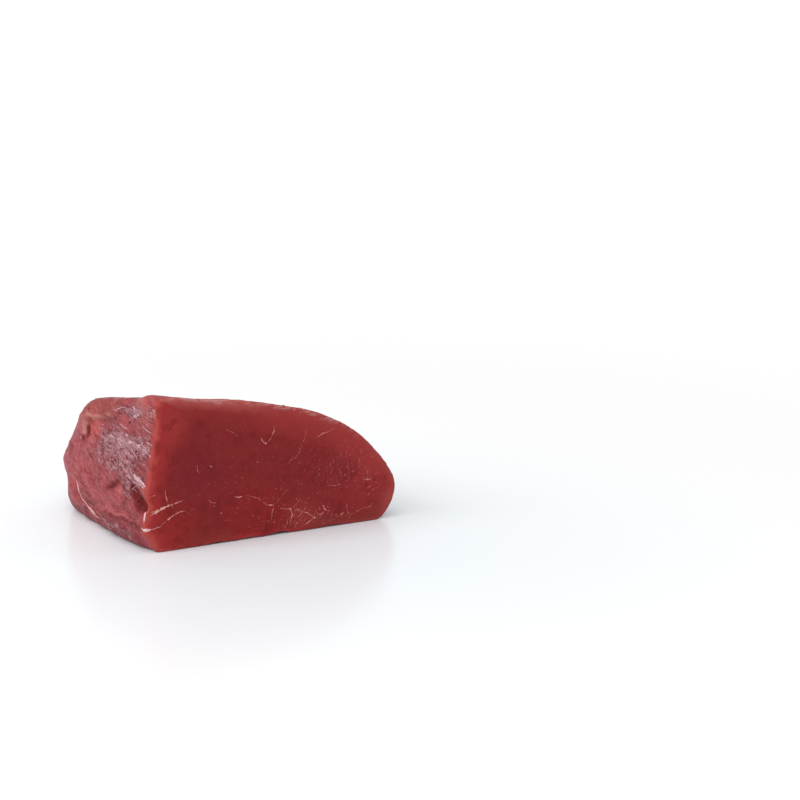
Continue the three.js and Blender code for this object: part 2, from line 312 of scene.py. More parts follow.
def skin_net():
    """The points and faces of the natural sides, and the ring of points just behind the cut."""
    sizes = QUADS + 1
    keys = np.ravel_multi_index(np.moveaxis(skin_quads(), 2, 0), sizes)
    used, faces = np.unique(keys, return_inverse=True)
    steps = np.stack(np.unravel_index(used, sizes), 1)
    on_side = steps[:, 1] < QUADS[1]
    columns, column = np.unique(steps[on_side][:, [0, 2]], axis=0, return_inverse=True)
    start = net_at_cut(net_x(columns[:, 0]), net_z(columns[:, 1]))[column.ravel()]
    y = np.full(len(steps), HALF_NET[1])
    y[on_side] = start + (HALF_NET[1] - start) * (steps[on_side, 1] / QUADS[1])
    points = sent_out(np.stack([net_x(steps[:, 0]), y, net_z(steps[:, 2])], 1))

    last, high = QUADS[0], QUADS[2]
    around = [(i, 0, 0) for i in range(last)] + [(last, 0, k) for k in range(high)]
    around += [(i, 0, high) for i in range(last, 0, -1)] + [(0, 0, k) for k in range(high, 0, -1)]
    ring = np.searchsorted(used, np.ravel_multi_index(np.transpose(around), sizes))
    return points, faces.reshape(-1, 4), ring


def closed_cut(points, faces, ring):
    """Adds the rounded edge of the cut, rings on its flat and its middle. Gives the vertices, the
    quads, the fan in the middle and how far each vertex lies in from the outline of the cut."""
    edge = points[ring]
    inwards = (HEART - edge) * (1, 0, 1)
    room = np.linalg.norm(inwards, axis=1)
    turns = pi / 2 * np.arange(1, EDGE_ROWS + 1) / EDGE_ROWS
    insets = [*(CUT_EDGE_ROUND * (1 - np.cos(turns))), *np.add(CUT_EDGE_ROUND, CUT_RINGS)]
    insets = np.minimum(np.array(insets)[:, None], LAST_RING * room)
    rings = edge + insets[..., None] * (inwards / room[:, None])
    rings[..., 1] = 0
    rings[:EDGE_ROWS, :, 1] = CUT_EDGE_ROUND * (1 - np.sin(turns))[:, None]
    middle = len(points) + insets.size
    rows = np.vstack([ring, np.arange(len(points), middle).reshape(insets.shape)])
    after = np.roll(rows, -1, 1)
    quads = np.stack([rows[:-1], after[:-1], after[1:], rows[1:]], 2).reshape(-1, 4)
    fan = [(middle, a, b) for a, b in zip(rows[-1], after[-1])]
    points = np.concatenate([points, rings.reshape(-1, 3), [HEART * (1, 0, 1)]])
    inset = np.concatenate([np.zeros(len(points) - insets.size - 1), insets.ravel(), [room.min()]])
    return points, np.concatenate([faces, quads]), fan, inset


vertices, faces, fan, inset = closed_cut(*skin_net())
lowest, highest = (np.array(corner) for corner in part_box("meat_block"))
lowest = lowest + (ROOM_FOR_TRIM, ROOM_FOR_TRIM, 0)
highest = highest - ROOM_FOR_TRIM
shaped_low, shaped_high = vertices.min(0), vertices.max(0)


def in_place(points):
    """From the millimetres that the block is shaped in to metres in the frame."""
    share = (np.array(points) - shaped_low) / (shaped_high - shaped_low)
    return lowest + share * (highest - lowest)


# What the left side shows, as soft patches of (y, z, reach in y, reach in z, strength): torn
# silverskin, red openings and painted shade, and pale fat and film at the lip of the flap.
FILM_PATCHES = (
    (44, 66, 24, 6, 0.95), (64, 63, 14, 6, 0.75), (16, 67, 15, 5, 0.95), (44, 52, 16, 7, 0.45),
    (12, 46, 10, 3.6, 1), (28, 89, 14, 5, 0.95), (3, 91, 4.5, 6, 0.95), (52, 57, 34, 15, 0.4),
    (30, 60, 14, 8, 0.6), (78, 52, 20, 16, 0.25), (28, 47, 8, 6, 0.7), (26, 38, 8, 6, 0.6),
    (46, 86, 8, 3, 0.7), (2, 60, 4, 8, 0.6), (54, 8, 9, 3.4, 0.85), (38, 10.5, 7, 4, 0.8),
    (26, 8, 6, 4, 0.6))
# Painted shade: the patches in the crevice and in the hollow under the flap lip stand for the shade
# in them.
OPENING_AND_SHADE_PATCHES = (
    (104.5, 61, 3.4, 6, 1), (7, 31.5, 8, 5.5, 1), (15, 36, 7, 4, 0.95), (111, 55, 2.5, 3, 0.9),
    (52, 36, 3, 3, 0.8), (43, 39, 5, 2, 0.8), (12, 73, 12, 2.4, 0.3), (33, 38, 2.4, 1.6, 0.95),
    (27, 35, 3, 1.4, 0.9), (21, 41, 2.4, 1.8, 0.9), (38, 43, 2.4, 1.4, 0.8),
    (30, 42, 1.8, 1.4, 0.7), (60, 12, 3, 1.6, 0.6), (47, 12, 3, 1.4, 0.6), (30, 4, 3, 1.4, 0.7))
PALE_PATCHES = (
    (110, 60, 2.8, 6, 1), (108, 67, 4.5, 3.4, 0.9), (98, 72.5, 8, 2.6, 0.95),
    (84, 75.6, 9, 2.4, 0.85), (68, 79, 8, 2.4, 0.6), (12, 46, 6, 2.2, 0.8), (3, 92, 3, 4, 0.7),
    (6, 30, 3, 1.6, 0.5), (38, 34, 4, 2, 0.6), (27, 39, 3, 1.6, 0.7), (24, 33, 3, 1.4, 0.5),
    (34, 41, 3, 1.2, 0.6), (16, 92, 6, 4, 0.4))


def patches_at(patches, y, z):
    clear = np.ones(len(y))
    for patch_y, patch_z, reach_y, reach_z, strength in patches:
        clear *= 1 - strength * hill(np.hypot((y - patch_y) / reach_y, (z - patch_z) / reach_z), 1)
    return 1 - clear


def covers_of(points, facing):
    """How far torn silverskin, whole silverskin, openings and painted shade, pale film with a painted
    highlight along the low fold, the smooth flap and the low fold with its painted shade cover each
    point of the skin, from 0 to 1."""
    torn = 2.2 * mottle(points, 7, 31) + 1.2 * mottle(points, 3, 32)
    ragged = raggedness(points)
    left = rise(-facing[:, 0], 0.3, 0.7) * rise(facing[:, 1], 0.75, 0.5)
    y, z = points[:, 1] + ragged, points[:, 2] + 0.7 * ragged
    wild = mottle(points, 34, 33) + 0.6 * mottle(points, 13, 34) + 0.3 * mottle(points, 5, 35)
    veil = rise(wild, -0.1, 0.7) * (1 - left) * rise(points[:, 1], 1.5, 8)
    film = left * patches_at(FILM_PATCHES, points[:, 1] + torn, points[:, 2] + torn)

    opening_and_shade = patches_at(OPENING_AND_SHADE_PATCHES, y, z)
    for path, reach, strength in ((CREVICE, 4.4, 1.0), (GASH, 2.6, 0.85)):
        off, fade = beside_path(path, y, z)
        opening_and_shade = np.maximum(opening_and_shade, strength * fade * hill(off, reach))

    flap = rise(beside_path(FLAP_LIP, y, z)[0], -0.5, 1.5) * rise(y, 40, 62)
    off, fade = beside_path(LOWER_FOLD, y, z)
    fold = rise(-off, -1, 1.5) * rise(points[:, 2], 40, 25)
    opening_and_shade = np.maximum(opening_and_shade, 0.55 * fade * hill(off + 1.9, 1.6))
    # A pale line along the low fold: a membrane streak, and a painted highlight on the fold's ridge.
    pale = np.maximum(patches_at(PALE_PATCHES, y, z), 0.5 * fade * hill(off, 1.2))
    return {
        "film": film * rise(points[:, 1], 1.5, 6), "veil": veil, "open_and_shade": left * opening_and_shade,
        "pale": left * pale, "flap": left * flap, "low": left * fold}


def store(mesh, name, values):
    """Keeps a value, or a vector, at each point of a mesh."""
    kind, key = ("FLOAT_VECTOR", "vector") if np.ndim(values) > 1 else ("FLOAT", "value")
    mesh.attributes.new(name, kind, "POINT").data.foreach_set(key, np.ravel(values))


def in_scene(name, data):
    thing = bpy.data.objects.new(name, data)
    bpy.context.scene.collection.objects.link(thing)
    return thing


facing = smooth_muscle(unit(vertices - HEART))[1]
covers = covers_of(vertices, facing)

# How far in from the outline of the cut, as shares of the width of its brighter rim of painted
# through-light.
across, _, up = unit((HEART - vertices) * (1, 0, 1) + (TINY, 0, 0)).T
rim_width = np.where(across > 0, RIM_LEFT, RIM_RIGHT) * across**2
rim_width += np.where(up > 0, RIM_LOW, RIM_TOP) * up**2
covers["rim"] = inset / np.maximum(rim_width, 1)
# How far each point faces up. The cut's colour uses it to paint sheen on the upward-facing top edge
# and shade on the downward-facing lower edge.
covers["upper"] = facing[:, 2]

# The faces on the table are left out, and the hole is closed flat.
mesh = bpy.data.meshes.new("meat")
on_table = (vertices[faces][:, :, 2] < TINY).all(1)
mesh.from_pydata(in_place(vertices).tolist(), [], faces[~on_table].tolist() + fan)
for name, values in covers.items():
    store(mesh, name, values)
meat = in_scene("meat", mesh)
behind_cut = float(in_place([0, 1, 0])[1])
shaped = bmesh.new()
shaped.from_mesh(mesh)
bmesh.ops.holes_fill(shaped, edges=shaped.edges, sides=0)
bmesh.ops.triangulate(shaped, faces=shaped.faces)
loose = [vertex for vertex in shaped.verts if not vertex.link_faces]
bmesh.ops.delete(shaped, geom=loose, context="VERTS")
for face in shaped.faces:
    face.smooth = True
    face.material_index = int(all(vertex.co.y < behind_cut for vertex in face.verts))
shaped.to_mesh(mesh)
shaped.free()


class Tree:
    """A node tree, and the ways in which it grows."""

    family = "ShaderNode"

    def __init__(self, tree):
        self.tree = tree

    def fill(self, socket, value):
        if isinstance(value, bpy.types.NodeSocket):
            self.tree.links.new(value, socket)
        else:
            socket.default_value = value

    def node(self, kind, sockets=None, **options):
        node = self.tree.nodes.new(kind if "Node" in kind else self.family + kind)
        for option, value in options.items():
            setattr(node, option, value)
        for key, value in (sockets or {}).items():
            self.fill(node.inputs[key], value)
        return node

    def add(self, kind, sockets=None, **options):
        """The first output of a new node."""
        return self.node(kind, sockets, **options).outputs[0]

    def math(self, operation, *values):
        return self.add("ShaderNodeMath", dict(enumerate(values)), operation=operation)

    def product(self, first, *others):
        for other in others:
            first = self.math("MULTIPLY", first, other)
        return first

    def stirred(self, value, pattern, amount, level=0.5):
        """A value raised where a pattern is above a level, and lowered where it is below."""
        return self.math("MULTIPLY_ADD", self.math("SUBTRACT", pattern, level), amount, value)


def colour(red, green, blue):
    """A linear colour from the 0 to 255 values of a colour as it shows."""
    shown = np.array([red, green, blue]) / 255
    return (*np.where(shown <= 0.04045, shown / 12.92, ((shown + 0.055) / 1.055) ** 2.4), 1)


class Finish(Tree):
    """A material, painted in layers over its first colour."""

    def __init__(self, name, shade):
        self.material = bpy.data.materials.new(name)
        self.material.use_nodes = True
        super().__init__(self.material.node_tree)
        self.place = self.node("TexCoord").outputs["Object"]
        self.base = colour(*shade)

    def cells(self, sizes, slope):
        """Coordinates that step by 1 over each size in millimetres, turned about x."""
        sizes = np.broadcast_to(sizes, 3) * MM
        sockets = {"Vector": self.place, "Rotation": (slope, 0, 0), "Scale": sizes.tolist()}
        return self.add("Mapping", sockets, vector_type="TEXTURE")

    def noise(self, sizes, detail=2, roughness=0.5, swirl=0, slope=0):
        return self.add("TexNoise", {
            "Vector": self.cells(sizes, slope), "Scale": 1, "Detail": detail,
            "Roughness": roughness, "Distortion": swirl})

    def grains(self, sizes, slope=0, **options):
        sockets = {"Vector": self.cells(sizes, slope), "Scale": 1}
        return self.node("TexVoronoi", sockets, **options).outputs

    def cover(self, name):
        return self.node("Attribute", attribute_name=name).outputs["Fac"]

    def ramp(self, value, low, high, start=0, end=1):
        """Rises smoothly from `start` at low to `end` at high."""
        sockets = {"Value": value, "From Min": low, "From Max": high, "To Min": start, "To Max": end}
        return self.add("MapRange", sockets, interpolation_type="SMOOTHSTEP")

    def along(self, axis, low, high, start=0, end=1):
        """Rises between two places along an axis of the block, in millimetres."""
        ends = in_place([[low] * 3, [high] * 3])[:, "XYZ".index(axis)].tolist()
        return self.ramp(
            self.node("SeparateXYZ", {0: self.place}).outputs[axis], *ends, start, end)

    def near(self, x, y, z, inner, outer):
        """1 within `inner` millimetres of a place on the block, and 0 beyond `outer`."""
        sockets = {0: self.place, 1: in_place([x, y, z]).tolist()}
        gap = self.node("VectorMath", sockets, operation="DISTANCE").outputs["Value"]
        return self.ramp(gap, outer * MM, inner * MM)

    def blend(self, share, under, over):
        return self.node("Mix", {0: share, 6: under, 7: over}, data_type="RGBA").outputs[2]

    def tint(self, share, shade):
        """Paints a colour over what is there, as thickly as the share says."""
        self.base = self.blend(share, self.base, colour(*shade))

    def layer(self, pattern, span, shade, *within):
        """Paints a colour as a pattern rises over a span, and within some shares only."""
        self.tint(self.product(self.ramp(pattern, *span), *within), shade)

    def bump(self, *patterns):
        """Raises the surface by several patterns, each with its height in millimetres."""
        total = 0
        for pattern, height in patterns:
            total = self.math("MULTIPLY_ADD", pattern, height, total)
        return self.add("Bump", {"Height": total, "Distance": MM, "Strength": 1})

    def finish(self, **sockets):
        """Joins the painted colour and the rest to the shader."""
        shader = self.tree.nodes["Principled BSDF"].inputs
        self.fill(shader["Base Color"], self.base)
        for name, value in sockets.items():
            self.fill(shader[name.replace("_", " ")], value)
        return self.material


GRAIN_SLOPE, HAIR_SLOPE = radians(15), radians(-8)

skin = Finish("natural side of the muscle", (118, 34, 39))
clouds = skin.noise(15, detail=3, swirl=0.4)
bundles = skin.noise((2.4, 17, 2.4), detail=4, roughness=0.6, swirl=0.6, slope=GRAIN_SLOPE)
blotches = skin.noise((5, 9, 3.6), detail=4, roughness=0.65, swirl=0.7, slope=GRAIN_SLOPE)
fibres = skin.noise((0.7, 6.5, 0.7), detail=3, roughness=0.6, swirl=0.3, slope=GRAIN_SLOPE)
hairs = skin.noise((0.9, 0.9, 6), detail=3, roughness=0.6, slope=HAIR_SLOPE)
pits = skin.noise(1.3)
torn_bits = skin.noise((2.2, 3.6, 1.7), detail=4, roughness=0.65, swirl=0.8, slope=GRAIN_SLOPE)
crumbs = skin.grains((1.5, 2.1, 1.3), GRAIN_SLOPE)["Distance"]

# Bare muscle: clouds, bundles of fibres and hairs, the flap and the low fold, darker partly as
# painted shade, then the redder and paler places, with painted light on the front lump.
skin.layer(clouds, (0.35, 0.65), (150, 55, 59))
skin.layer(bundles, (0.42, 0.66, 0, 0.65), (172, 82, 85))
skin.layer(fibres, (0.46, 0.3, 0, 0.4), (100, 26, 32))
skin.layer(hairs, (0.5, 0.7, 0, 0.35), (182, 98, 100))
skin.layer(skin.cover("flap"), (0.2, 1, 0, 0.7), (142, 62, 57))
# Below the low fold the skin is darker: barer muscle, and painted shade.
skin.layer(skin.cover("low"), (0, 1, 0, 0.7), (120, 32, 40))
skin.layer(bundles, (0.4, 0.6, 0.2, 0.9), (166, 64, 64), skin.near(-10, 40, 34, 2, 9))
skin.layer(bundles, (0.35, 0.6, 0.5, 1), (196, 90, 82), skin.near(-4, 93, 66, 0, 19))
skin.layer(clouds, (0.3, 0.6, 0.3, 0.7), (162, 80, 87), skin.near(-13, 128, 50, 12, 34))
skin.layer(blotches, (0.47, 0.34, 0, 0.5), (104, 22, 30))
skin.layer(blotches, (0.53, 0.66, 0, 0.45), (184, 98, 106))
# Paler on the front lump: its own fibres, and painted light where it catches the light from the left.
skin.layer(hairs, (0.3, 0.6, 0.5, 1), (174, 86, 82), skin.near(2, 18, 94, 2, 19))
skin.tint(skin.near(-5, 0, 5, 3, 16), (166, 64, 74))

# Whole silverskin, on the sides that nobody trimmed, streaked along the grain.
veil = skin.ramp(skin.stirred(skin.cover("veil"), bundles, 2.4), 0.1, 1.2)
skin.layer(veil, (0, 1, 0, 0.5), (158, 92, 100))
skin.layer(fibres, (0.48, 0.68, 0, 0.5), (196, 142, 150), veil)

# Torn silverskin: dark gaps between the shreds, then the sheet, and painted highlights: glints on its
# crumbs and streaks along its fibres.
torn = skin.cover("film")
skin.layer(torn_bits, (0.53, 0.4), (82, 18, 24), skin.ramp(torn, 0, 0.8, 0.2, 1))
for pattern, amount in ((bundles, 1.8), (torn_bits, 3), (hairs, 1)):
    torn = skin.stirred(torn, pattern, amount)
sheet = skin.ramp(torn, 0.4, 1)
# Painted highlights: near-white glints and glint streaks painted into the sheet's colour.
glints = skin.product(skin.ramp(torn, 0.5, 1), skin.ramp(crumbs, 0.42, 0.16))
painted_glint_streaks = skin.product(sheet, skin.ramp(fibres, 0.54, 0.66))
skin.layer(sheet, (0, 1, 0, 0.65), (166, 106, 116))
skin.layer(glints, (0, 1, 0, 0.75), (212, 166, 170))
skin.layer(painted_glint_streaks, (0, 1, 0, 0.7), (222, 182, 186))

# The strip beside the cut, painted brighter like the cut's rim, the pale lips and the openings.
# Painted light: the strip beside the cut is brighter, as light shines through the thin edge.
skin.tint(skin.along("Y", 6, 1, 0, 0.75), (160, 60, 54))
# The pale lips include the line along the low fold, partly a painted highlight on its ridge.
lips = skin.product(skin.cover("pale"), skin.ramp(fibres, 0.35, 0.6, 0.55, 1))
skin.layer(lips, (0.15, 0.9, 0, 0.85), (196, 134, 124))
# Openings painted dark red, with painted shade in the crevice and under the flap lip.
skin.layer(skin.cover("open_and_shade"), (0.1, 0.8, 0, 0.97), (98, 3, 2))
wet = skin.math("MAXIMUM", sheet, veil)
mesh.materials.append(skin.finish(
    Roughness=skin.ramp(pits, 0.3, 0.7, 0.34, 0.52), Specular_IOR_Level=0.15,
    Coat_Weight=skin.ramp(wet, 0, 1, 0, 0.16), Coat_Roughness=0.25, Subsurface_Weight=0.15,
    Subsurface_Scale=0.004, Normal=skin.bump(
        (bundles, 0.8), (fibres, 0.4), (pits, 0.2), (hairs, 0.25), (sheet, 0.4), (glints, 0.3))))

cut = Finish("fresh cut across the grain", (125, 29, 32))
blots = cut.noise(11, detail=3, swirl=0.5)
smears = cut.noise((10, 4, 2.2), detail=4, roughness=0.6, swirl=0.6)
patches = cut.noise(6, detail=3)
specks = cut.noise(0.8, detail=3, roughness=0.7)
hairs = cut.noise((0.5, 1, 3.4), roughness=0.6)
dots = cut.grains(2.3)
walls = cut.grains((1.9, 6, 1.9), feature="DISTANCE_TO_EDGE")["Distance"]
rim = cut.stirred(cut.cover("rim"), blots, 0.9)
upper = cut.cover("upper")

# The core, with its paler ends and its dull purple places.
cut.tint(cut.near(165, 0, 30, 0, 60), (141, 37, 41))
cut.tint(cut.near(6, 0, 6, 4, 34), (142, 32, 31))
cut.tint(cut.near(9, 0, 84, 5, 22), (151, 44, 42))
cut.layer(cut.near(72, 0, 10, 8, 40), (0, 1, 0, 0.7), (134, 28, 29))
dull = cut.math("MAXIMUM", cut.near(30, 0, 52, 4, 30), cut.near(138, 0, 40, 2, 18))
cut.layer(dull, (0, 1, 0, 0.6), (115, 26, 33))
core = cut.base

# The rim round it, painted brighter for light shining through the edge. This painted light is faded
# at the top, where a painted sheen lies on pale film. The rim is smeared with fat by the tip, and
# below it is painted darker as shade.
# Painted light: the rim's brighter colour stands for light shining through the meat near its edge.
cut.base = colour(174, 70, 64)
cut.layer(rim, (0, 0.5), (157, 41, 42))
cut.base = cut.blend(cut.ramp(rim, 0.3, 1.4), cut.base, core)
cut.layer(patches, (0.48, 0.3, 0, 0.45), (108, 21, 25))
cut.layer(rim, (4, 1.2), (152, 46, 46), cut.ramp(upper, 0.2, 0.6), cut.along("X", 58, 92, 0.35, 0.8))
# Painted sheen over pale film: the upward-facing top edge is paler.
top = cut.ramp(upper, 0.6, 0.92)
cut.layer(rim, (1.6, 0.1, 0, 0.55), (180, 98, 92), top, cut.along("X", 58, 92, 1, 0.2))
# Painted sheen over pale film: whitish smears on the upward-facing top edge at the left.
cut.layer(
    rim, (0.55, 0.05, 0, 0.65), (184, 140, 138), top, cut.ramp(smears, 0.44, 0.56),
    cut.along("X", 2, 20))
cut.layer(
    rim, (1.7, 0.5), (172, 96, 90), cut.along("X", 78, 112), cut.ramp(upper, 0, -0.35),
    cut.ramp(smears, 0.35, 0.6, 0.15, 0.35))
cut.layer(
    # Painted shade: the downward-facing lower edge at the left is darker.
    rim, (2.6, 0.8), (124, 43, 38), cut.ramp(upper, -0.4, -0.75), cut.along("X", 2, 20, 0.3, 0.85))
# Painted light: the brighter rim down the right side of the cut.
cut.layer(rim, (0.9, 0.3, 0, 0.75), (154, 60, 58), cut.along("X", 112, 165))
cut.tint(cut.near(106, 0, 11, 2, 20), (140, 42, 42))

# Walls of the bundles, fine specks, upright hairs of fat and pale dots.
cut.layer(walls, (0.1, 0), (166, 70, 68), cut.ramp(patches, 0.35, 0.65, 0.03, 0.22))
cut.layer(specks, (0.5, 0.75, 0, 0.18), (154, 54, 54))
veined = cut.ramp(cut.near(146, 0, 42, 6, 34), 0, 1, 0.06, 0.5)
cut.layer(hairs, (0.56, 0.72), (172, 78, 74), veined)
dotted = cut.near(143, 0, 42, 8, 36)
for place in ((100, 0, 10, 4, 24), (62, 0, 34, 4, 30)):
    dotted = cut.math("MAXIMUM", dotted, cut.near(*place))
chosen = cut.ramp(cut.add("SeparateXYZ", {0: dots["Color"]}), 0.55, 0.6)
cut.layer(
    dots["Distance"], (0.22, 0.08), (200, 104, 94), chosen, cut.ramp(dotted, 0, 1, 0.05, 0.35))
mesh.materials.append(cut.finish(
    Roughness=cut.ramp(patches, 0.3, 0.7, 0.4, 0.52), Specular_IOR_Level=0.13,
    Subsurface_Weight=0.15, Subsurface_Scale=0.004,
    Normal=cut.bump((walls, 0.1), (specks, 0.1), (blots, 0.3))))

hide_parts("meat_block")
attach(meat, "root")


# The marbling: threads of fat between the bundles of the muscle. The knife has cut them flush,
# and they show as thin pale lines that come and go.
class Growth(Tree):
    """A Geometry Nodes tree, with named inputs for its sizes, that grows things on the block."""

    family = "GeometryNode"

    def __init__(self, name, material, **sizes):
        super().__init__(bpy.data.node_groups.new(name, "GeometryNodeTree"))
        self.material = material
        new_socket = self.tree.interface.new_socket
        new_socket("Geometry", in_out="INPUT", socket_type="NodeSocketGeometry")
        for size, value in sizes.items():
            socket = new_socket(size, in_out="INPUT", socket_type="NodeSocketFloat")
            socket.default_value = value
        new_socket("Geometry", in_out="OUTPUT", socket_type="NodeSocketGeometry")
        self.inputs = self.node("NodeGroupInput").outputs
        self.block = self.node("ObjectInfo", {"Object": meat}).outputs["Geometry"]

    def vector(self, operation, first, second):
        sockets = {0: first, "Scale" if operation == "SCALE" else 1: second}
        return self.add("ShaderNodeVectorMath", sockets, operation=operation)

    def named(self, name, kind="FLOAT"):
        return self.add("InputNamedAttribute", {"Name": name}, data_type=kind)

    def noise(self, cell):
        """Noise over the places of the points, in swells of about one cell."""
        return self.node("ShaderNodeTexNoise", {"Scale": 1 / cell}).outputs

    def outward(self):
        """Where the block's surface faces at the nearest place."""
        sockets = {"Mesh": self.block, "Value": self.add("InputNormal")}
        return self.add("SampleNearestSurface", sockets, data_type="FLOAT_VECTOR")

    def on_block(self, geometry, lift):
        """Moves each point to the nearest place on the block and `lift` above it."""
        nearest = self.node("Proximity", {"Geometry": self.block}).outputs["Position"]
        place = self.vector("ADD", nearest, self.vector("SCALE", self.outward(), lift))
        return self.add("SetPosition", {"Geometry": geometry, "Position": place})

    def shaken(self, geometry, cell, reach):
        """Moves each point by noise, up to half the reach."""
        sway = self.vector("SUBTRACT", self.noise(cell)["Color"], (0.5, 0.5, 0.5))
        sockets = {"Geometry": geometry, "Offset": self.vector("SCALE", sway, reach)}
        return self.add("SetPosition", sockets)

    def close(self, geometry):
        smooth = self.add("SetShadeSmooth", {"Geometry": geometry})
        whole = self.add("RealizeInstances", {"Geometry": smooth})
        painted = self.add("SetMaterial", {"Geometry": whole, "Material": self.material})
        self.node("NodeGroupOutput", {"Geometry": painted})

    def grow(self, name, seedling, **sizes):
        """A plain mesh object grown from the seedling mesh."""
        holder = in_scene("holder", seedling)
        modifier = holder.modifiers.new("growth", "NODES")
        modifier.node_group = self.tree
        for item in self.tree.interface.items_tree:
            if item.name in sizes:
                modifier[item.identifier] = sizes[item.name]
        graph = bpy.context.evaluated_depsgraph_get()
        grown = bpy.data.meshes.new_from_object(
            holder.evaluated_get(graph), preserve_all_data_layers=True, depsgraph=graph)
        bpy.data.objects.remove(holder)
        return in_scene(name, grown)


THREAD_SIDES = 6


def thread_growth(name, material):
    """Threads along paths on the block. Each wanders, swells and thins, and is sunk by a share
    of its own thickness. A flat one lies on the surface like a strip of film."""
    tree = Growth(
        name, material, Step=0.45 * MM, Wander=0.9 * MM, Breaks=4.6, Sink=0.72, Dip=0.9,
        Flatness=1)
    size = tree.inputs
    line = tree.add("MeshToCurve", {"Mesh": size["Geometry"]})
    line = tree.add("ResampleCurve", {"Curve": line, "Length": size["Step"]}, mode="LENGTH")
    line = tree.shaken(line, 4 * MM, size["Wander"])
    line = tree.shaken(line, 1.3 * MM, tree.product(size["Wander"], 0.6))

    # Pointed at both ends, and broken where the noise is low.
    place = tree.node("SplineParameter").outputs["Factor"]
    bow = tree.product(place, tree.math("SUBTRACT", 1, place), 4)
    swell = tree.stirred(0.3, tree.noise(1.5 * MM)["Fac"], size["Breaks"], 0.35)
    swell = tree.math("MINIMUM", tree.math("MAXIMUM", swell, 0.06), 1.5)
    swell = tree.product(swell, tree.math("POWER", bow, 0.35))
    girth = tree.product(tree.named("thickness"), swell)
    line = tree.add("StoreNamedAttribute", {"Geometry": line, "Name": "girth", "Value": girth})
    girth = tree.named("girth")
    sink = tree.stirred(size["Sink"], tree.noise(2.3 * MM)["Fac"], size["Dip"])
    line = tree.on_block(line, tree.product(girth, tree.product(sink, size["Flatness"], -1)))
    line = tree.add("SetCurveNormal", {"Curve": line, "Normal": tree.outward()}, mode="FREE")
    ring = tree.add("CurvePrimitiveCircle", {"Resolution": THREAD_SIDES})
    squeeze = tree.add("ShaderNodeCombineXYZ", {0: size["Flatness"], 1: 1, 2: 1})
    ring = tree.add("Transform", {"Geometry": ring, "Scale": squeeze})
    sockets = {"Curve": line, "Profile Curve": ring, "Scale": girth, "Fill Caps": True}
    tree.close(tree.add("CurveToMesh", sockets))
    return tree


def threads(name, paths):
    """A mesh of open paths. Each is a thickness in millimetres, a whiteness and its points."""
    points, edges, thickness, white = [], [], [], []
    for thick, pale, path in paths:
        start = len(points)
        points += in_place(path).tolist()
        edges += [(start + i, start + i + 1) for i in range(len(path) - 1)]
        thickness += [thick / 2 * MM] * len(path)
        white += [pale] * len(path)
    lines = bpy.data.meshes.new(name)
    lines.from_pydata(points, edges, [])
    store(lines, "thickness", thickness)
    store(lines, "white", white)
    return lines


# Where fine threads may lie: clear of the cut's foot, of its sloping top and of its tip.
CUT_FOOT = 3
CUT_TOP, TOP_SLOPE = 96, 0.22
CUT_TIP, TIP_HEIGHT, TIP_SLOPE = 172, 18, 0.5


def stays_on_the_cut(path):
    x, _, z = np.transpose(path)
    clear = (z > CUT_FOOT) & (z < CUT_TOP - TOP_SLOPE * x)
    return all(clear & (x < CUT_TIP - TIP_SLOPE * np.abs(z - TIP_HEIGHT)))


def strays(middles, thick, white, step, bend, heading=None):
    """Fine threads that nobody would draw one by one, each a few short steps on the cut."""
    paths = []
    for *middle, reach_x, reach_z, count in middles:
        for _ in range(count):
            x, z = chance.normal(middle, (reach_x, reach_z))
            turn = chance.uniform(0, 2 * pi) if heading is None else chance.normal(heading, 0.25)
            path = [(x, 0, z)]
            for _ in range(chance.integers(1, 5)):
                turn += chance.normal(0, bend)
                length = chance.uniform(*step)
                x, z = x + length * cos(turn), z + length * sin(turn)
                path.append((x, 0, z))
            paths.append((chance.uniform(*thick), chance.uniform(*white), path))
    return [entry for entry in paths if stays_on_the_cut(entry[2])]


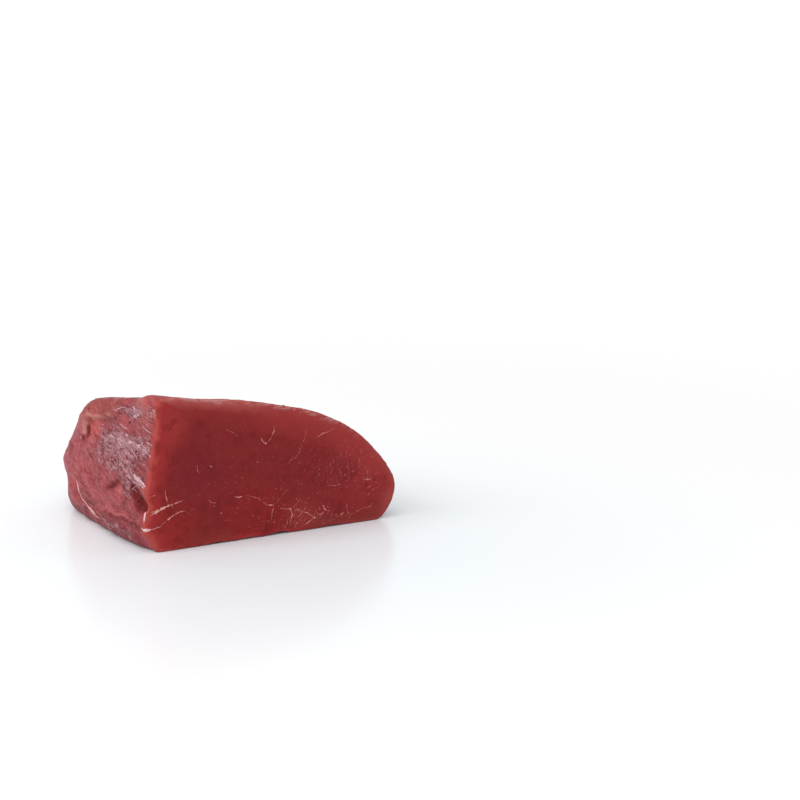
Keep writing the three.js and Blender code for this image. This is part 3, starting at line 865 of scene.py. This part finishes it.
# Paths of (x, z) on the cut, under the thickness and the whiteness of their threads.
MARBLING = {
    (0.48, 0.25): (
        ((110.2, 70.5), (108.8, 66.2), (104.3, 55.6), (101.1, 51.6), (96.2, 48.4)),
        ((119.5, 2.6), (125.5, 4), (131, 5)), ((124.5, 29.5), (131.5, 28.5), (136.5, 29)),
        ((48, 15.5), (53.5, 15)), ((116, 35), (118, 36.5), (119.5, 39.5)), ((162, 33), (166.5, 33)),
        ((136, 6), (145, 7), (156, 11))),
    (0.48, 0.3): (
        ((50.4, 76.5), (53.5, 75.2), (57.8, 72.4), (58.7, 70.5)),
        ((84.5, 21.5), (87.5, 23), (91, 27), (95, 30)), ((75.5, 11.5), (78, 10.5)),
        ((80.5, 9.5), (86.5, 9)), ((104.5, 58.5), (104, 57)), ((107.5, 64), (108, 62))),
    (0.5, 0.25): (((64, 30.6), (68, 29.1), (73.5, 27.3), (74.3, 26.1), (78.9, 21.8), (82.2, 21.4)),),
    (0.5, 0.3): (((19.5, 26), (22, 24.4), (23.6, 22.2)),),
    (0.56, 0.3): (
        ((171, 27.1), (171.9, 24.6)), ((158.7, 45.3), (161.3, 44.3)), ((144.4, 37.2), (146.1, 35.5)),
        ((128, 67.5), (131.5, 68.5)), ((153, 20), (157, 18.5), (158, 21)),
        ((163.5, 22.5), (166.5, 25))),
    (0.56, 0.35): (
        ((37, 31.5), (38.5, 29), (43, 28)), ((94.5, 47.5), (96.5, 49), (98, 50.5), (102, 52)),
        ((131, 7), (134, 6.5))),
    (0.56, 0.4): (
        ((105, 22.5), (102, 20), (100, 18), (97, 17)), ((156.2, 36.5), (156.5, 32.7), (156.5, 29.7))),
    (0.64, 0.35): (
        ((29.3, 55.2), (29.8, 51.5), (31, 49.2)), ((-5.4, 37.8), (-1.6, 38.7), (0.2, 39.2))),
    (0.64, 0.4): (((38.2, 53.8), (40.3, 52.4)),),
    (0.64, 0.45): (
        ((84.5, 20.2), (83.3, 15.9), (83, 11.5)), ((95, 8), (93, 5), (92, 3.4)),
        ((102.5, 7), (101, 5), (99.5, 3.5)), ((117.7, 9.8), (121, 10.1), (122.6, 12))),
    (0.64, 0.5): (((11.2, 30.7), (11.4, 28.3)),),
    (0.7, 0.5): (
        ((86.2, 75.4), (85.3, 71.1), (83.2, 66.9), (79.3, 63.7)),
        ((75.7, 68.1), (76.8, 65.8), (78.8, 63.5))),
    (0.72, 0.45): (
        ((129.7, 67.5), (125.6, 66.5), (121.5, 65.5), (117.4, 63.3)),
        ((152.8, 30.1), (156.5, 29.5), (159.5, 29.6)),
        ((6.4, 41.2), (6.8, 37.6), (7.5, 35), (8.6, 33))),
    (0.72, 0.5): (((101.4, 15.7), (105.5, 14), (104.6, 11.5), (102.2, 10.4)),),
    (0.8, 0.6): (
        ((89, 18.1), (93.3, 16.8), (96.6, 16.8), (98, 15.4)),
        ((96.6, 16.8), (98.5, 12.4), (97.3, 8.8), (95.9, 4.5)),
        ((104.6, 14), (109.5, 12.6), (112.5, 10), (115.2, 8.3)),
        ((116.2, 8), (113, 7.2), (111.1, 6.1), (108, 4.4), (105.5, 3.2))),
    (0.9, 0.55): (((10, 30.6), (13, 31.4), (16, 32.2), (19.4, 33)),),
    (0.96, 0.55): (((2.6, 18), (7.5, 21.1), (12, 23.9), (16.4, 25.4), (21, 26)),),
    (1.1, 0.7): (((121.5, 16.5), (123, 13), (125, 11.5), (127.3, 11.5)),),
    (1.2, 0.7): (((95.8, 48.3), (97.2, 48.6)), ((55.9, 30.7), (58.5, 29.6), (61.7, 29.9))),
    (1.5, 0.85): (((114.6, 8.3), (116, 8.1)),),
    (1.6, 0.5): (((-4, 27.8), (-1, 28.2), (2, 29.2)),),
    (1.7, 0.85): (((81.4, 21.6), (83.8, 21)),),
    (1.8, 0.9): (((78.6, 64.6), (79.8, 63.2)),),
    (2, 0.75): (((4, 29.2), (8, 30.4), (11.5, 31)),),
    (2.2, 0.6): (((-4.2, 25.6), (-1.4, 27), (1.6, 28), (4, 28.8)),),
    (3.4, 0.85): (((-2.4, 26.6), (2.3, 28.4), (7, 30.1)),),
}
BRIGHT_SPECKS = (
    (46.7, 35.4), (117.8, 24.8), (146.1, 43.8), (156.1, 29.7), (13.3, 82.5), (41.3, 26), (73, 52),
    (58, 22.5), (46, 20.5), (30.5, 35), (110.5, 28), (101.5, 23), (157, 54.5), (126, 47), (97, 16.8),
    (104.8, 14), (110.2, 12.2), (98.4, 12.6), (123.5, 12.6), (84.2, 20.8), (115.6, 8.2))


def thread_finish(name, deep, pale, patch, sizes=(2.2, 0.9), share=0.45, **sockets):
    """Fat or film, deep where it is thin and pale where it is thick."""
    soft = Finish(name, deep)
    soft.tint(soft.cover("white"), pale)
    soft.layer(soft.noise(sizes[0]), (0.4, 0.7, 0, share), patch)
    normal = soft.bump((soft.noise(sizes[1]), 0.08))
    fatty = {"Roughness": 0.42, "Specular_IOR_Level": 0.2, "Subsurface_Scale": 0.003}
    return soft.finish(Subsurface_Weight=0.2, Normal=normal, **(fatty | sockets))


chance = np.random.default_rng(5)
drawn = [
    (thick, pale, [(x, 0, z) for x, z in path])
    for (thick, pale), paths in MARBLING.items() for path in paths]
drawn += [(0.95, 0.7, [(x - 0.5, 0, z), (x + 0.5, 0, z + 0.2)]) for x, z in BRIGHT_SPECKS]
drawn += strays(
    ((140, 40, 16, 11, 80), (101, 11, 12, 5, 40), (66, 27, 34, 14, 50), (90, 50, 40, 20, 40)),
    (0.2, 0.42), (0, 0.4), (0.4, 1.1), 0.7)
drawn += strays(
    ((138, 42, 13, 9, 70), (105, 20, 20, 10, 30)), (0.2, 0.4), (0, 0.35), (0.5, 1.2), 0.2, pi / 2)
drawn += strays(((156, 31, 6, 7, 40), (105, 8, 18, 4, 25)), (0.2, 0.4), (0, 0.4), (0.5, 1.4), 0.2, 0)
drawn += strays(
    ((126, 7, 20, 3, 70), (104, 8, 9, 4, 40)), (0.2, 0.45), (0.2, 0.6), (0.5, 1.5), 0.3, 1)
inner_fat = thread_finish("fat in the muscle", (172, 52, 50), (242, 176, 164), (204, 98, 92))
thread = thread_growth("threads of fat", inner_fat)
marbling = thread.grow("marbling", threads("marbling", drawn), Flatness=0.2, Sink=0.75)
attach(marbling, "root")


# The fat outside: a seam of it down the far left, knobs along the foot, and a blob and a strip at
# the near corner, left on the block when its muscle was pulled from its neighbours.
FAT_SEAMS = (
    (3.4, 0.75, ((-14, 107, 27), (-14, 104, 23), (-14, 101, 18.5))),
    (2.8, 0.6, ((-14, 103, 21), (-14, 98, 15.5), (-13, 92, 14), (-13, 87, 12))),
    (4.6, 0.65, ((-13, 90, 12.8), (-13, 84, 11), (-12, 78, 10))),
    (2.4, 0.4, ((-12, 80, 10), (-12, 74, 9.5), (-12, 69, 9))),
    (2.6, 0.85, ((-7, 1.2, 28.5), (-8, 1, 25), (-8, 1.6, 20.8))),
    (4.4, 1, ((-8.6, 3.4, 17.6), (-8, 1.6, 16.4), (-6.2, 0.8, 15.8), (-3.6, 0.6, 16.4))),
    (0.9, 0.6, ((-5, 0, 16.2), (-1, 0, 16.8), (3.4, 0, 17.6))),
    (0.7, 0.12, ((-8, 80, 14.6), (-8, 62, 17.4), (-8, 44, 19), (-8, 30, 21.6))),
    (0.7, 0.1, ((-8, 28, 21.6), (-8, 16, 21.8), (-8, 6, 23))),
    (1.1, 0.7, ((-9, 136, 60), (-9, 133, 57))), (1, 0.8, ((-9, 112, 55.6), (-9, 114, 53.4))),
    (1, 0.75, ((-9, 94, 74.5), (-9, 93, 73.4))), (1, 0.7, ((-9, 92, 27.6), (-9, 91, 26.6))))
outer_fat = thread_finish(
    "fat outside the muscle", (168, 84, 84), (232, 190, 186), (196, 128, 126))
seam = thread_growth("seams of fat", outer_fat)
seams = seam.grow(
    "fat_seams", threads("fat seams", FAT_SEAMS), Sink=0.6, Breaks=1.8,
    Wander=1.3 * MM, Dip=0.5, Flatness=0.3)
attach(seams, "root")


# The silverskin: the thin wet membrane round the muscle, torn off in strips. Flat shreds and fine
# hairs of it still cling to the meat and lie along its grain.
GRAIN = (0, 1, 0.2)
FILM_WIDTH = 1.35
# The white streaks low by the cut, near y 2 to 21 and z 43 to 49, and those on the front lump are the
# membrane's own white and painted wet highlights too.
FILM_STREAKS = (
    (1, 0.5, ((-7, 54, 77), (-7, 47, 76.6), (-7, 40, 76))),
    (1, 0.75, ((-7, 15, 68.6), (-7, 10, 68), (-7, 7, 67.6))),
    (1.1, 0.55, ((-7, 5, 67), (-6, 0.5, 65.4))),
    (1.1, 0.75, ((-7, 34, 71), (-7, 29, 69.6), (-7, 26, 69.4))),
    (1.1, 0.7, ((-7, 24, 69.4), (-7, 20, 69), (-7, 16, 68))),
    (1, 0.6, ((-7, 68, 66), (-7, 60, 66.4), (-7, 56, 68))),
    (1.1, 0.7, ((-7, 53, 67.4), (-7, 46, 68.4), (-7, 42, 67))),
    (1, 0.6, ((-7, 10, 72.4), (-7, 1, 72))), (1.1, 0.6, ((-7, 37, 50), (-7, 31, 48))),
    (1, 0.6, ((-7, 28, 47), (-7, 24, 44.6))), (1.6, 0.6, ((-7, 42, 71), (-7, 36, 72))),
    (1.8, 0.7, ((-7, 34, 68.6), (-7, 30, 70))), (1.8, 0.6, ((-7, 20, 70), (-7, 15, 71.6))),
    (1.6, 0.6, ((-7, 49, 66), (-7, 43, 64))),
    (2.4, 0.8, ((-7, 21, 48.6), (-7, 15, 47.4), (-7, 9, 46.8))),
    (1.8, 0.75, ((-7, 19, 46.8), (-7, 12, 46.2), (-7, 6, 45))),
    (2.2, 0.8, ((-7, 14, 48.2), (-7, 8, 46.2), (-7, 2, 44.6))),
    (1.2, 0.7, ((-7, 12, 44.8), (-7, 7, 43.8), (-7, 3, 43.4))),
    (2, 0.6, ((0, 36, 91), (0, 31, 89))), (1.6, 0.6, ((0, 27, 88), (0, 23, 86.4))),
    (1.7, 0.5, ((-2, 33, 85), (-2, 28, 84.6))), (1.8, 0.7, ((0, 4, 94.4), (0, 2, 92.6))),
    (1.1, 0.5, ((-2, 18, 81), (-3, 11, 79), (-3, 5, 78.6))),
    (1, 0.5, ((-2, 14, 84), (-3, 9, 82.4))), (1, 0.4, ((-8, 64, 84), (-8, 52, 86), (-5, 44, 88))),
    (0.9, 0.4, ((60, 2.6, 99), (67, 2.8, 98), (74, 2.6, 97), (81, 2.8, 95))),
    (0.8, 0.35, ((116, 2.6, 88), (122, 2.6, 86), (127, 2.6, 84))),
    (0.8, 0.3, ((85, 2.6, 94), (91, 2.6, 93))))


def shreds(count, seed, weight, along, thick, white, length, drift):
    """Short strands that start where `weight` is high and lie along a direction."""
    chance = np.random.default_rng(seed)
    starts = chance.choice(len(vertices), count, p=weight / weight.sum())
    paths = []
    for place, outward in zip(vertices[starts], facing[starts]):
        heading = unit(unit(np.array(along, float)) + chance.normal(0, drift, 3))
        heading = unit(heading - outward * (heading @ outward))
        sideways = np.cross(outward, heading)
        reach = chance.uniform(*length)
        bow = chance.normal(0, 0.1) * reach
        shares = (0, 0.35, 0.7, 1)
        path = [place + heading * reach * s + sideways * bow * sin(pi * s) for s in shares]
        paths.append((chance.uniform(*thick), chance.uniform(*white), path))
    return [entry for entry in paths if min(point[1] for point in entry[2]) > 1]


stands = rise(vertices[:, 2], 1.5, 6) * rise(vertices[:, 1], 1, 5)
on_left = stands * rise(-facing[:, 0], 0.3, 0.7)
patchy = on_left * covers["film"]
spread = patchy + 0.06 * on_left
veiled = (stands - on_left) * (0.03 + covers["veil"])
strands = [(thick * FILM_WIDTH, pale, path) for thick, pale, path in FILM_STREAKS]
strands += shreds(420, 61, patchy**1.5, GRAIN, (0.35, 0.9), (0.05, 0.5), (2.5, 9), 0.17)
strands += shreds(240, 62, spread, GRAIN, (0.25, 0.55), (0, 0.4), (1.5, 5), 0.4)
strands += shreds(220, 63, spread, (0, 0.15, 1), (0.22, 0.4), (0, 0.4), (1.2, 3.5), 0.3)
strands += shreds(260, 64, veiled, GRAIN, (0.3, 0.7), (0, 0.3), (3, 12), 0.07)

film = thread_finish(
    "torn silverskin", (142, 76, 84), (216, 174, 180), (172, 114, 124), (2.5, 0.8), 0.4,
    Roughness=0.4, Specular_IOR_Level=0.25, Coat_Weight=0.1, Coat_Roughness=0.25,
    Subsurface_Scale=0.002)
silverskin = thread_growth("strips of film", film).grow(
    "silverskin", threads("silverskin", strands), Step=0.8 * MM, Wander=0.9 * MM, Flatness=0.25,
    Sink=0.1, Dip=1.6, Breaks=2.2)
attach(silverskin, "root")


# The pepper: crushed peppercorns from the cure, caught in the crevice and here and there on the
# skin. Each spot of them is a place, a reach and a number.
PEPPER_SPOTS = (
    (-6, 12, 33, 3.2, 9), (-7, 8, 32, 2, 8), (-6, 20, 37, 2.2, 4), (-7, 3, 28, 2, 3),
    (-7, 46, 40, 2, 1), (-7, 42, 39, 1.6, 1), (96, 7, 95, 5, 5), (110, 7, 92, 3, 4),
    (-8, 24, 3, 1.5, 3), (-4, 60, 92, 8, 2), (60, 60, 95, 30, 8), (150, 60, 45, 18, 5),
    (80, 150, 50, 40, 8), (-8, 100, 50, 30, 3))
husk = Finish("crushed pepper", (24, 18, 14))
husk.layer(husk.noise(0.6), (0.35, 0.65), (74, 54, 36))
husk.finish(Roughness=0.6, Specular_IOR_Level=0.25)

grind = Growth("crushed pepper", husk.material, Roughness=0.55, Sink=0.15)
ball = grind.add("MeshIcoSphere", {"Radius": 1, "Subdivisions": 2})
spots = grind.add("MeshToPoints", {"Mesh": grind.inputs["Geometry"]})
spots = grind.on_block(spots, grind.product(grind.named("size"), grind.inputs["Sink"]))
crumbs = grind.add("InstanceOnPoints", {
    "Points": spots, "Instance": ball, "Rotation": grind.named("turn", "FLOAT_VECTOR"),
    "Scale": grind.named("shape", "FLOAT_VECTOR")})
crumbs = grind.add("RealizeInstances", {"Geometry": crumbs})
grind.close(grind.shaken(crumbs, 0.7 * MM, grind.product(grind.inputs["Roughness"], 2 * MM)))

chance = np.random.default_rng(71)
places, sizes = [(-1, 36, 80)], [0.75]
for *middle, reach, count in PEPPER_SPOTS:
    places += (chance.normal(0, reach / 2, (count, 3)) + middle).tolist()
    sizes += chance.uniform(0.2, 0.48, count).tolist()
places = np.maximum(places, (-99, 3, 1))
sizes = np.array(sizes) * MM
ground = bpy.data.meshes.new("pepper")
ground.from_pydata(in_place(places).tolist(), [], [])
store(ground, "size", sizes)
store(ground, "turn", chance.uniform(0, 2 * pi, (len(places), 3)))
store(ground, "shape", sizes[:, None] * chance.uniform(0.6, 1.3, (len(places), 3)))
pepper = grind.grow("pepper", ground)
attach(pepper, "root")


# The floor: a pale studio board with a soft gloss, on which the block stands. It fades into the
# white round it, as in a lit tent.
sweep = bpy.data.meshes.new("sweep")
sweep.from_pydata([(-6, -6, 0), (6, -6, 0), (6, 12, 0), (-6, 12, 0)], [], [(0, 1, 2, 3)])
floor = in_scene("floor", sweep)
paint = Finish("white gloss board", (247, 247, 247))
# Painted shade: near the block the board is painted darker and cooler, for the shade in front of it
# and against the red light the meat throws on it.
paint.tint(paint.near(90, -20, 0, 60, 380), (233, 239, 243))
sweep.materials.append(paint.finish(
    Roughness=0.22, IOR=1.5, Alpha=paint.near(90, 75, 0, 250, 1100)))


# The camera and the lights: a long lens from a little above, white light from all around, a soft
# sun from the upper left, and a softbox that gives the wet side its small glints.
LOOK_AT = Vector((0.292, 0.259, 0))
AZIMUTH, ELEVATION, DISTANCE = radians(-29.9), radians(12), 1.758
LIGHT_ALL_AROUND, BACKDROP = 0.7, 1.05

camera = bpy.data.cameras.new("camera")
camera.lens, camera.sensor_width, camera.clip_end = 90, 36, 50
stand = in_scene("camera", camera)
back = Vector((sin(AZIMUTH) * cos(ELEVATION), -cos(AZIMUTH) * cos(ELEVATION), sin(ELEVATION)))
stand.location = LOOK_AT + DISTANCE * back
stand.rotation_euler = (pi / 2 - ELEVATION, 0, AZIMUTH)
bpy.context.scene.camera = stand
bpy.context.scene.view_settings.view_transform = "Standard"

world = bpy.data.worlds.new("studio")
bpy.context.scene.world = world
world.use_nodes = True
air = Tree(world.node_tree)
lit, seen = (
    air.add("Background", {"Color": (1, 1, 1, 1), "Strength": strength})
    for strength in (LIGHT_ALL_AROUND, BACKDROP))
either = {0: air.node("LightPath").outputs["Is Camera Ray"], 1: lit, 2: seen}
air.fill(air.tree.nodes["World Output"].inputs["Surface"], air.add("MixShader", either))

sun = bpy.data.lights.new("sun", "SUN")
sun.energy, sun.angle = 1.3, radians(60)
in_scene("sun", sun).rotation_euler = Vector((0.5, 0.45, -1)).to_track_quat("-Z", "Y").to_euler()
box = bpy.data.lights.new("softbox", "AREA")
box.shape, box.size, box.size_y, box.energy = "RECTANGLE", 0.5, 0.7, 9
lamp = in_scene("softbox", box)
lamp.location = (-1.3, 0.1, 1)
lamp.rotation_euler = (Vector((0, 0, 0.05)) - lamp.location).to_track_quat("-Z", "Y").to_euler()
